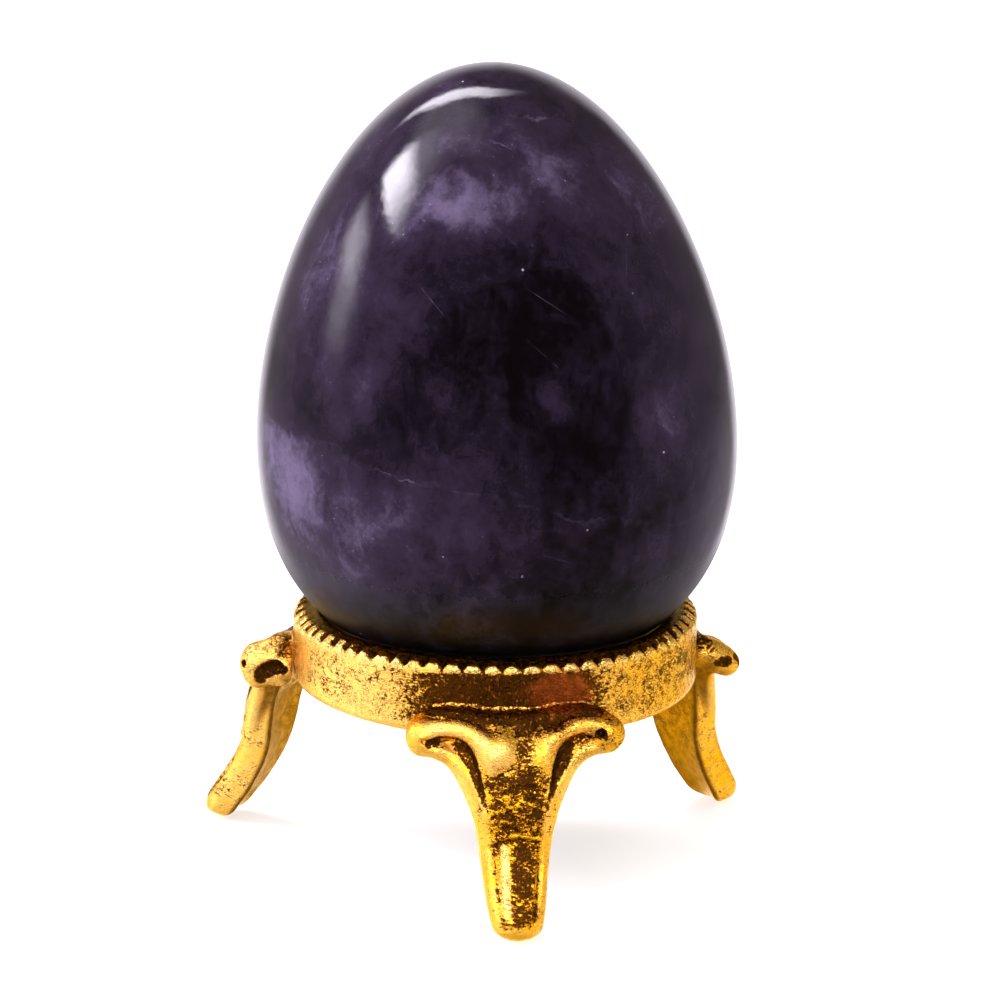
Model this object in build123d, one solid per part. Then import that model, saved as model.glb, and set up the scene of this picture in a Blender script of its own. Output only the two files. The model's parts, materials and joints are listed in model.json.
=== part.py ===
from build123d import *
import math
import os

# Decorative egg on a three-legged ring stand. Millimetres.
# Frame: Z is the ring's axis, z = 0 is the table under the three feet,
# and -Y points out along the front leg.

# ---- driving dimensions -------------------------------------------------
EGG_A = 18.967            # egg: radius factor of the profile
EGG_B = 25.009            # egg: half height
EGG_ZC = 40.972           # egg: height of the middle of its axis
EGG_C1, EGG_C2, EGG_C3 = -0.2172, 0.1088, -0.0482   # egg: taper of the profile
EGG_LEAN = -1.757         # egg: lean in its seat, degrees
EGG_LEAN_Z = 36.0         # egg: height of the point it leans about
EGG_LEAN_AZ = -5.47       # egg: turn of the lean plane about Z, degrees

BAND_R = 16.515           # ring: outer radius
BAND_Z0 = 14.40           # ring: lower lip
BAND_LIP = 1.05           # ring: rounding of the lower outer edge
BAND_BEVEL_Z = 20.36      # ring: foot of the notched bevel
RIM_R = 15.80             # ring: crest radius
RIM_Z = 21.00             # ring: crest height
BORE_R = 13.90            # ring: bore
SEAT_GAP = 0.07           # ring: room between the seat and the egg
NOTCHES = 64              # ring: notches round the rim
NOTCH_W = 1.06            # ring: notch width at the bevel's face
NOTCH_D = 0.36            # ring: notch depth

BRAZE_T = 0.12            # braze film between band and leg
BEAD_R = 0.30             # braze bead along the top of the bracket
BEAD_SPAN = 15.0          # braze bead: half angle, degrees

# legs: azimuth from -Y towards +X, and how far the foot is bent out
LEGS = {"front": (0.0, 0.0), "left": (-114.7, 0.30), "right": (119.9, -0.30)}

# leg sections from the bracket down: height, back radius, front radius, half width
SHIN = [
    (16.95, 16.00, 17.75, 4.60),
    (15.80, 16.05, 18.70, 4.85),
    (14.30, 16.35, 19.65, 4.75),
    (12.70, 17.10, 20.40, 4.30),
    (11.00, 17.70, 20.90, 3.72),
    (9.30, 18.02, 21.25, 3.27),
    (7.00, 18.40, 21.62, 2.92),
    (5.60, 18.88, 22.10, 2.74),
    (4.40, 19.46, 22.88, 2.58),
    (3.00, 20.24, 24.00, 2.40),
    (1.60, 21.28, 24.62, 2.14),
    (0.60, 22.20, 24.52, 1.76),
    (0.00, 22.75, 24.10, 1.25),
]
BACK_HOLLOW = 0.28        # leg: hollow of the shin's back face

# wing sections: tangential place, radius and height of the centre, half sizes
WING = [
    (-0.8, 17.60, 15.10, 1.28, 1.80),
    (2.4, 17.60, 15.22, 1.34, 1.78),
    (4.8, 17.60, 15.42, 1.33, 1.60),
    (7.1, 17.60, 15.50, 1.35, 1.46),
]
BULB_R = 1.55             # leg: rounded wing end


# ---- helpers ------------------------------------------------------------
def egg_profile(n=28):
    pts = []
    for i in range(n + 1):
        t = math.pi * i / n
        u = math.cos(t)
        r = EGG_A * math.sin(t) * (1 + EGG_C1 * u + EGG_C2 * u * u + EGG_C3 * u**3)
        pts.append((max(r, 0.0), EGG_ZC + EGG_B * u))
    pts[0] = (0.0, pts[0][1])
    pts[-1] = (0.0, pts[-1][1])
    return pts


def egg_radius(z):
    u = (z - EGG_ZC) / EGG_B
    return EGG_A * math.sqrt(1 - u * u) * (1 + EGG_C1 * u + EGG_C2 * u * u + EGG_C3 * u**3)


def revolved(points_or_edges):
    face = make_face(points_or_edges)
    return revolve(Plane.XZ * face, Axis.Z, 360)


def one(shape):
    """The largest solid of a boolean result."""
    return max(shape.solids(), key=lambda s: s.volume)


# ---- egg ----------------------------------------------------------------
prof = egg_profile()
curve = Spline(*prof, tangents=[(1, 0), (-1, 0)])
axis_line = Line(prof[-1], prof[0])
egg = one(revolved([curve.edge(), axis_line.edge()]))
egg = Pos(0, 0, EGG_LEAN_Z) * Rot(0, 0, EGG_LEAN_AZ) * Rot(0, EGG_LEAN, 0) * Rot(0, 0, -EGG_LEAN_AZ) * Pos(0, 0, -EGG_LEAN_Z) * egg

# ---- ring band ----------------------------------------------------------
# the seat is a cone that follows the egg's flank with a little room
za, zb = 20.45, RIM_Z
ra, rb = egg_radius(za), egg_radius(zb)
slope = math.hypot(zb - za, rb - ra)
off = (SEAT_GAP * (zb - za) / slope, -SEAT_GAP * (rb - ra) / slope)
seat_top = (rb + off[0] + (zb - (zb + off[1])) * (rb - ra) / (zb - za), zb)
seat_low = (BORE_R, zb - (seat_top[0] - BORE_R) * (zb - za) / (rb - ra))
k = BAND_LIP * (1 - math.sqrt(0.5))
band_edges = [
    Line((BORE_R + 0.3, BAND_Z0), (BAND_R - BAND_LIP, BAND_Z0)),
    ThreePointArc((BAND_R - BAND_LIP, BAND_Z0), (BAND_R - k, BAND_Z0 + k), (BAND_R, BAND_Z0 + BAND_LIP)),
    Line((BAND_R, BAND_Z0 + BAND_LIP), (BAND_R, BAND_BEVEL_Z)),
    Line((BAND_R, BAND_BEVEL_Z), (RIM_R, RIM_Z)),
    Line((RIM_R, RIM_Z), seat_top),
    Line(seat_top, seat_low),
    Line(seat_low, (BORE_R, BAND_Z0 + 0.3)),
    Line((BORE_R, BAND_Z0 + 0.3), (BORE_R + 0.3, BAND_Z0)),
]
band = revolved([e.edge() for e in band_edges])

# V notches across the bevel
bx, bz = RIM_R - BAND_R, RIM_Z - BAND_BEVEL_Z
bl = math.hypot(bx, bz)
along = Vector(bx / bl, 0, bz / bl)          # up the bevel
outward = Vector(bz / bl, 0, -bx / bl)       # out of the bevel's face
start = Vector(BAND_R, 0, BAND_BEVEL_Z) - along * 0.55 + outward * 0.0
notch_plane = Plane(origin=start, x_dir=(0, 1, 0), z_dir=along)
sgn = 1 if notch_plane.y_dir.dot(outward) > 0 else -1
tri = Polyline((-NOTCH_W / 2 - 0.15, sgn * 0.10), (0, -sgn * NOTCH_D), (NOTCH_W / 2 + 0.15, sgn * 0.10), close=True)
notch = extrude(notch_plane * make_face(tri), amount=bl + 1.1, dir=along)
notches = [Rot(0, 0, 360 / NOTCHES * i - 0.4) * notch for i in range(NOTCHES)]
band = one(band - notches)


# ---- legs ---------------------------------------------------------------
def shin_section(z, ub, uf, w, splay):
    s = splay * max(0.0, 1 - z / 9.0)
    ub, uf = ub + s, uf + s
    d = uf - ub
    bl_, br_ = (-0.93 * w, -ub), (0.93 * w, -ub)
    h = min(BACK_HOLLOW, 0.12 * d)
    back = ThreePointArc(bl_, (0, -(ub + h)), br_)
    front = Spline(
        br_,
        (w, -(ub + 0.40 * d)),
        (0.66 * w, -(ub + 0.84 * d)),
        (0, -uf),
        (-0.66 * w, -(ub + 0.84 * d)),
        (-w, -(ub + 0.40 * d)),
        bl_,
    )
    return Pos(0, 0, z) * make_face([back.edge(), front.edge()])


def wing_section(v, uc, zc, ru, rz):
    pl = Plane(origin=(v, -uc, zc), x_dir=(0, -1, 0), z_dir=(1, 0, 0))
    return pl * Ellipse(ru, rz)


def leg_blank(splay):
    shin = loft([shin_section(*s, splay) for s in SHIN])
    v, uc, zc = WING[-1][:3]
    bulb = Pos(v, -uc, zc) * Rot(25, 90, 0) * Sphere(BULB_R)
    half = one(loft([wing_section(*r) for r in WING]) + bulb)
    return one(shin + half + mirror(half, Plane.YZ))


ring_side = Cylinder(BAND_R + BRAZE_T, 30, align=(Align.CENTER, Align.CENTER, Align.MIN))
core = Cylinder(BAND_R, 30, align=(Align.CENTER, Align.CENTER, Align.MIN))
film_zone = Pos(0, 0, BAND_Z0 + BAND_LIP) * (
    Cylinder(BAND_R + BRAZE_T, 3.0, align=(Align.CENTER, Align.CENTER, Align.MIN))
    - Cylinder(BAND_R, 3.0, align=(Align.CENTER, Align.CENTER, Align.MIN))
)

parts = {"stone_egg": egg, "ring_band": band}
for side, (az, splay) in LEGS.items():
    blank = leg_blank(splay)
    leg = one(blank - ring_side)
    film = blank & film_zone
    bead_face = Pos(BAND_R + 0.10, SHIN[0][0]) * Circle(BEAD_R)
    bead = revolve(Plane.XZ * bead_face, Axis.Z, 2 * BEAD_SPAN)
    bead = Rot(0, 0, -90 - BEAD_SPAN) * bead
    braze = one(film + (bead - core - leg))
    turn = Rot(0, 0, az)
    parts[f"{side}_leg"] = turn * leg
    parts[f"{side}_leg_braze"] = turn * braze

# ---- export -------------------------------------------------------------
os.makedirs("parts", exist_ok=True)
for name, shape in parts.items():
    export_step(shape, f"parts/{name}.step")
    bb = shape.bounding_box()
    print(name, round(shape.volume, 2), bb.min, bb.max)
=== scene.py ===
import json
import math

import bpy
import numpy as np
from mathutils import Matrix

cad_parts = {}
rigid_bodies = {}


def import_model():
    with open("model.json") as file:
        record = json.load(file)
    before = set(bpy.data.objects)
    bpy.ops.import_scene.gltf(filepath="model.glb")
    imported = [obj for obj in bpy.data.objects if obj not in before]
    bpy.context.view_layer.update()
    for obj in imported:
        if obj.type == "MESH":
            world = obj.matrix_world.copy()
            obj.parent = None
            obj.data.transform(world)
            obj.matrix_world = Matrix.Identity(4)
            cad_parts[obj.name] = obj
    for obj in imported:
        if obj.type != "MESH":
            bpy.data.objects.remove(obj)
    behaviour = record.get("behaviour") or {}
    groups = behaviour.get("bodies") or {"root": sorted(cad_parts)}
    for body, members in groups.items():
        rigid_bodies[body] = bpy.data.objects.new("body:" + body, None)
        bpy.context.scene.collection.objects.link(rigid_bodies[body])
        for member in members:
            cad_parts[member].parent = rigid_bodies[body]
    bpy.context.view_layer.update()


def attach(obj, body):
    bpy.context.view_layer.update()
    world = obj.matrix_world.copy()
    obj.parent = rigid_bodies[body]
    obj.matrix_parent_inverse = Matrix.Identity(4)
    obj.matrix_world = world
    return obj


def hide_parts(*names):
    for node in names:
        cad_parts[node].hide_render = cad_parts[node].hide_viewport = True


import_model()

import openvdb
from mathutils import Matrix, Vector

MM = 0.001

# ---------------------------------------------------------------------------
# dimensions shared with the solid model, millimetres
# ---------------------------------------------------------------------------
EGG_A, EGG_B, EGG_ZC = 18.967, 25.009, 40.972
EGG_C = (-0.2172, 0.1088, -0.0482)
EGG_LEAN, EGG_LEAN_Z, EGG_LEAN_AZ = -1.757, 36.0, -5.47
BAND_R, BAND_Z0, BEVEL_Z = 16.515, 14.40, 20.36
RIM_R, RIM_Z, BORE_R = 15.80, 21.00, 13.90
NOTCHES = 64
LEGS = {"front": (0.0, 0.0), "left": (-114.7, 0.30), "right": (119.9, -0.30)}
SHIN = np.array([
    (18.20, 15.60, 16.80, 4.30),
    (16.95, 16.00, 17.75, 4.60),
    (15.80, 16.05, 18.70, 4.85),
    (14.30, 16.35, 19.65, 4.75),
    (12.70, 17.10, 20.40, 4.20),
    (11.00, 17.70, 20.90, 3.62),
    (9.30, 18.02, 21.25, 3.27),
    (7.00, 18.40, 21.62, 2.92),
    (5.60, 18.86, 22.24, 2.74),
    (4.40, 19.42, 22.92, 2.58),
    (3.00, 20.16, 23.80, 2.40),
    (1.60, 21.10, 24.54, 2.16),
    (0.60, 21.80, 24.50, 1.84),
    (0.00, 22.25, 24.12, 1.42),
    (-0.60, 22.70, 23.70, 0.80),
])


# ---------------------------------------------------------------------------
# numeric helpers
# ---------------------------------------------------------------------------
def perlin(P, seed):
    rng = np.random.default_rng(seed)
    perm = rng.permutation(256)
    perm = np.concatenate([perm, perm, perm])
    g = rng.normal(size=(256, 3))
    g /= np.linalg.norm(g, axis=1, keepdims=True)
    Pi = np.floor(P).astype(np.int64)
    F = P - Pi
    Pi &= 255
    U = F * F * F * (F * (F * 6 - 15) + 10)
    out = np.zeros(len(P))
    for dx in (0, 1):
        for dy in (0, 1):
            for dz in (0, 1):
                h = perm[perm[perm[(Pi[:, 0] + dx) & 255] + ((Pi[:, 1] + dy) & 255)] + ((Pi[:, 2] + dz) & 255)]
                d = F - np.array((dx, dy, dz), float)
                dot = (g[h] * d).sum(1)
                w = (U[:, 0] if dx else 1 - U[:, 0]) * (U[:, 1] if dy else 1 - U[:, 1]) * (U[:, 2] if dz else 1 - U[:, 2])
                out += w * dot
    return out


def fbm(P, seed, octaves=3, gain=0.5, lac=2.03):
    out, amp, f = 0.0, 1.0, 1.0
    for o in range(octaves):
        out = out + amp * perlin(P * f, seed + 17 * o)
        amp *= gain
        f *= lac
    return out


def smin(a, b, k):
    h = np.clip(0.5 + 0.5 * (b - a) / k, 0.0, 1.0)
    return b * (1 - h) + a * h - k * h * (1 - h)


def smax(a, b, k):
    return -smin(-a, -b, k)


def sstep(a, b, x):
    t = np.clip((x - a) / (b - a), 0.0, 1.0)
    return t * t * (3 - 2 * t)


def hermite(xs, ys, x):
    """Smooth curve through points with rising xs."""
    xs, ys = np.asarray(xs, float), np.asarray(ys, float)
    d = np.diff(ys) / np.diff(xs)
    m = np.empty_like(ys)
    m[0], m[-1] = d[0], d[-1]
    h = np.diff(xs)
    m[1:-1] = (d[:-1] * h[1:] + d[1:] * h[:-1]) / (h[1:] + h[:-1])
    x = np.clip(x, xs[0], xs[-1])
    i = np.clip(np.searchsorted(xs, x) - 1, 0, len(xs) - 2)
    t = (x - xs[i]) / h[i]
    return ((2 * t**3 - 3 * t**2 + 1) * ys[i] + (t**3 - 2 * t**2 + t) * h[i] * m[i]
            + (-2 * t**3 + 3 * t**2) * ys[i + 1] + (t**3 - t**2) * h[i] * m[i + 1])


def through(points, n=6):
    """A smooth chain through (x, y, z, radius) points."""
    P = np.array(points, float)
    s = np.concatenate([[0], np.cumsum(np.linalg.norm(np.diff(P[:, :3], axis=0), axis=1))])
    t = np.linspace(0, s[-1], n * (len(P) - 1) + 1)
    return np.stack([hermite(s, P[:, j], t) for j in range(P.shape[1])], 1)


class Field:
    """A sampled distance-like field in a leg's own axes: v across, u outwards, z up."""

    def __init__(self, lo, hi, h):
        self.lo, self.h = np.array(lo, float), h
        self.n = np.ceil((np.array(hi) - self.lo) / h).astype(int) + 1
        self.ax = [self.lo[i] + h * np.arange(self.n[i]) for i in range(3)]
        self.F = np.full(self.n, 3.0, np.float32)

    def grids(self, sl=None):
        out = []
        for i in range(3):
            a = self.ax[i] if sl is None else self.ax[i][sl[i]]
            shape = [1, 1, 1]
            shape[i] = len(a)
            out.append(a.reshape(shape).astype(np.float32))
        return out

    def block(self, lo, hi):
        sl = []
        for i in range(3):
            a = max(0, int(math.floor((lo[i] - self.lo[i]) / self.h)))
            b = min(int(self.n[i]), int(math.ceil((hi[i] - self.lo[i]) / self.h)) + 1)
            sl.append(slice(a, max(b, a + 1)))
        return tuple(sl)

    def chain(self, pts, margin=1.0):
        r = pts[:, 3].max() + margin
        sl = self.block(pts[:, :3].min(0) - r, pts[:, :3].max(0) + r)
        X, Y, Z = self.grids(sl)
        best = None
        for a, b in zip(pts[:-1], pts[1:]):
            ba = b[:3] - a[:3]
            L = float(ba @ ba) + 1e-9
            t = np.clip(((X - a[0]) * ba[0] + (Y - a[1]) * ba[1] + (Z - a[2]) * ba[2]) / L, 0, 1)
            d = np.sqrt((X - a[0] - t * ba[0])**2 + (Y - a[1] - t * ba[1])**2 + (Z - a[2] - t * ba[2])**2) - (a[3] + t * (b[3] - a[3]))
            best = d if best is None else np.minimum(best, d)
        return sl, best

    def ellipsoid(self, c, r, margin=1.2):
        c, r = np.array(c, float), np.array(r, float)
        sl = self.block(c - r - margin, c + r + margin)
        X, Y, Z = self.grids(sl)
        k = np.sqrt(((X - c[0]) / r[0])**2 + ((Y - c[1]) / r[1])**2 + ((Z - c[2]) / r[2])**2)
        return sl, (k - 1) * float(r.min())

    def add(self, item, k):
        sl, d = item
        self.F[sl] = smin(self.F[sl], d, k)

    def cut(self, item, k):
        sl, d = item
        self.F[sl] = smax(self.F[sl], -d, k)

    def mesh(self):
        grid = openvdb.FloatGrid(3.0)
        grid.copyFromArray(np.ascontiguousarray(self.F))
        pts, tris, quads = grid.convertToPolygons(0.0, 0.0)
        P = np.asarray(pts, float)
        gr = np.stack(np.gradient(self.F.astype(np.float32), self.h), -1)
        for _ in range(3):
            q = np.clip(P, 0, self.n - 1.001)
            i = q.astype(int)
            f = q - i
            val, G = 0.0, 0.0
            for dx in (0, 1):
                for dy in (0, 1):
                    for dz in (0, 1):
                        w = ((f[:, 0] if dx else 1 - f[:, 0]) * (f[:, 1] if dy else 1 - f[:, 1]) * (f[:, 2] if dz else 1 - f[:, 2]))
                        idx = (i[:, 0] + dx, i[:, 1] + dy, i[:, 2] + dz)
                        val = val + w * self.F[idx]
                        G = G + w[:, None] * gr[idx]
            step = val[:, None] * G / np.maximum((G**2).sum(1, keepdims=True), 0.05)
            L = np.linalg.norm(step, axis=1, keepdims=True)
            P = P - step * np.minimum(1, 0.5 * self.h / np.maximum(L, 1e-9)) / self.h
        faces = [tuple(q) for q in np.asarray(quads, int)] + [tuple(t) for t in np.asarray(tris, int)]
        return self.lo + P * self.h, faces


def signed_volume(P, faces):
    quads = np.array([f for f in faces if len(f) == 4], int).reshape(-1, 4)
    tris = np.array([f for f in faces if len(f) == 3], int).reshape(-1, 3)
    T = np.concatenate([quads[:, [0, 1, 2]], quads[:, [0, 2, 3]], tris])
    a, b, c = P[T[:, 0]], P[T[:, 1]], P[T[:, 2]]
    return np.einsum("ij,ij->i", a, np.cross(b, c)).sum() / 6


def keep_largest(P, faces):
    """Drops loose crumbs that the field leaves away from the main piece."""
    parent = np.arange(len(P))
    E = np.concatenate([np.stack([np.array([f[i] for f in faces]), np.array([f[(i + 1) % 3] for f in faces])], 1) for i in range(3)]
                       + [np.array([(f[2], f[3]) for f in faces if len(f) == 4] or [(0, 0)])])
    while True:
        m = np.minimum(parent[E[:, 0]], parent[E[:, 1]])
        new = parent.copy()
        np.minimum.at(new, E[:, 0], m)
        np.minimum.at(new, E[:, 1], m)
        new = new[new]
        if (new == parent).all():
            break
        parent = new
    labels, counts = np.unique(parent, return_counts=True)
    keep = parent == labels[counts.argmax()]
    idx = np.cumsum(keep) - 1
    return P[keep], [tuple(int(idx[i]) for i in f) for f in faces if keep[f[0]]]


def edges_of(faces):
    E = []
    for n in (3, 4):
        A = np.array([f for f in faces if len(f) == n], int).reshape(-1, n)
        for i in range(n):
            E.append(A[:, [i, (i + 1) % n]])
    E = np.concatenate(E)
    return np.unique(np.sort(E, 1), axis=0)


def vertex_normals(P, faces):
    N = np.zeros_like(P)
    for n in (3, 4):
        A = np.array([f for f in faces if len(f) == n], int).reshape(-1, n)
        if not len(A):
            continue
        nn = np.cross(P[A[:, 2]] - P[A[:, 0]], P[A[:, 3 if n == 4 else 1]] - P[A[:, 1 if n == 4 else 0]])
        if n == 3:
            nn = np.cross(P[A[:, 1]] - P[A[:, 0]], P[A[:, 2]] - P[A[:, 0]])
        for i in range(n):
            np.add.at(N, A[:, i], nn)
    return N / np.maximum(np.linalg.norm(N, axis=1, keepdims=True), 1e-12)


def hollows(P, N, faces, rounds=(2, 10)):
    """Signed hollow measure per vertex: above zero in grooves, below zero on edges."""
    E = edges_of(faces)
    deg = np.zeros(len(P))
    np.add.at(deg, E[:, 0], 1)
    np.add.at(deg, E[:, 1], 1)

    def mean(A):
        out = np.zeros_like(A)
        np.add.at(out, E[:, 0], A[E[:, 1]])
        np.add.at(out, E[:, 1], A[E[:, 0]])
        return out / deg.reshape(-1, *[1] * (A.ndim - 1))

    res, S = [], P
    done = 0
    for r in rounds:
        while done < r:
            S = 0.5 * S + 0.5 * mean(S)
            done += 1
        c = ((S - P) * N).sum(1)
        for _ in range(2):
            c = 0.5 * c + 0.5 * mean(c)
        res.append(c)
    return res


def new_piece(name, P_mm, faces, node, body, mat, attrs=None):
    me = bpy.data.meshes.new(name)
    me.from_pydata([tuple(p) for p in (np.asarray(P_mm) * MM)], [], faces)
    me.update()
    me.polygons.foreach_set("use_smooth", [True] * len(me.polygons))
    for key, val in (attrs or {}).items():
        a = me.attributes.new(key, "FLOAT", "POINT")
        a.data.foreach_set("value", np.asarray(val, np.float32))
    ob = bpy.data.objects.new(name, me)
    bpy.context.scene.collection.objects.link(ob)
    ob.data.materials.append(mat)
    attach(ob, body)
    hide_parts(node)
    return ob


# ---------------------------------------------------------------------------
# materials
# ---------------------------------------------------------------------------
class Nodes:
    def __init__(self, mat):
        mat.use_nodes = True
        self.t = mat.node_tree
        self.t.nodes.clear()
        self.x = 0

    def new(self, kind, **props):
        n = self.t.nodes.new(kind)
        self.x += 40
        n.location = (self.x, 0)
        for k, v in props.items():
            setattr(n, k, v)
        return n

    def put(self, sock, val):
        if isinstance(val, bpy.types.NodeSocket):
            self.t.links.new(val, sock)
        else:
            sock.default_value = val

    def math(self, op, a, b=0.0, c=0.0, clamp=False):
        n = self.new("ShaderNodeMath", operation=op, use_clamp=clamp)
        for i, v in enumerate((a, b, c)):
            if i < len(n.inputs):
                self.put(n.inputs[i], v)
        return n.outputs[0]

    def vec(self, op, a, b=(0, 0, 0), scale=1.0):
        n = self.new("ShaderNodeVectorMath", operation=op)
        self.put(n.inputs[0], a)
        if len(n.inputs) > 1 and op not in ("LENGTH", "NORMALIZE", "SCALE"):
            self.put(n.inputs[1], b)
        if op == "SCALE":
            self.put(n.inputs["Scale"], scale)
        return n.outputs["Value"] if op in ("LENGTH", "DISTANCE", "DOT_PRODUCT") else n.outputs[0]

    def noise(self, vec, scale, detail=3.0, rough=0.5, distort=0.0):
        n = self.new("ShaderNodeTexNoise", noise_dimensions="3D")
        self.put(n.inputs["Vector"], vec)
        n.inputs["Scale"].default_value = scale
        n.inputs["Detail"].default_value = detail
        n.inputs["Roughness"].default_value = rough
        n.inputs["Distortion"].default_value = distort
        return n

    def voronoi(self, vec, scale, feature="F1", rand=1.0):
        n = self.new("ShaderNodeTexVoronoi", feature=feature)
        self.put(n.inputs["Vector"], vec)
        n.inputs["Scale"].default_value = scale
        n.inputs["Randomness"].default_value = rand
        return n

    def range(self, val, a, b, c=0.0, d=1.0, smooth=True):
        n = self.new("ShaderNodeMapRange", interpolation_type="SMOOTHSTEP" if smooth else "LINEAR", clamp=True)
        self.put(n.inputs[0], val)
        for i, v in enumerate((a, b, c, d)):
            self.put(n.inputs[i + 1], v)
        return n.outputs[0]

    def mix(self, fac, a, b, blend="MIX"):
        n = self.new("ShaderNodeMix", data_type="RGBA", blend_type=blend, clamp_factor=True)
        self.put(n.inputs[0], fac)
        for sock, v in ((n.inputs[6], a), (n.inputs[7], b)):
            self.put(sock, v if isinstance(v, bpy.types.NodeSocket) else (*v, 1.0))
        return n.outputs[2]

    def mapping(self, vec, loc=(0, 0, 0), rot=(0, 0, 0), scale=(1, 1, 1)):
        n = self.new("ShaderNodeMapping")
        self.put(n.inputs[0], vec)
        n.inputs[1].default_value = loc
        n.inputs[2].default_value = rot
        n.inputs[3].default_value = scale
        return n.outputs[0]

    def attr(self, name):
        return self.new("ShaderNodeAttribute", attribute_name=name).outputs["Fac"]

    def bump(self, height, dist_mm, normal=None, strength=1.0):
        n = self.new("ShaderNodeBump")
        n.inputs["Strength"].default_value = strength
        n.inputs["Distance"].default_value = dist_mm * MM
        self.put(n.inputs["Height"], height)
        if normal is not None:
            self.put(n.inputs["Normal"], normal)
        return n.outputs[0]

    def finish(self, **sockets):
        b = self.new("ShaderNodeBsdfPrincipled")
        for k, v in sockets.items():
            self.put(b.inputs[k.replace("_", " ")], v)
        o = self.new("ShaderNodeOutputMaterial")
        self.t.links.new(b.outputs[0], o.inputs[0])
        return b


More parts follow.
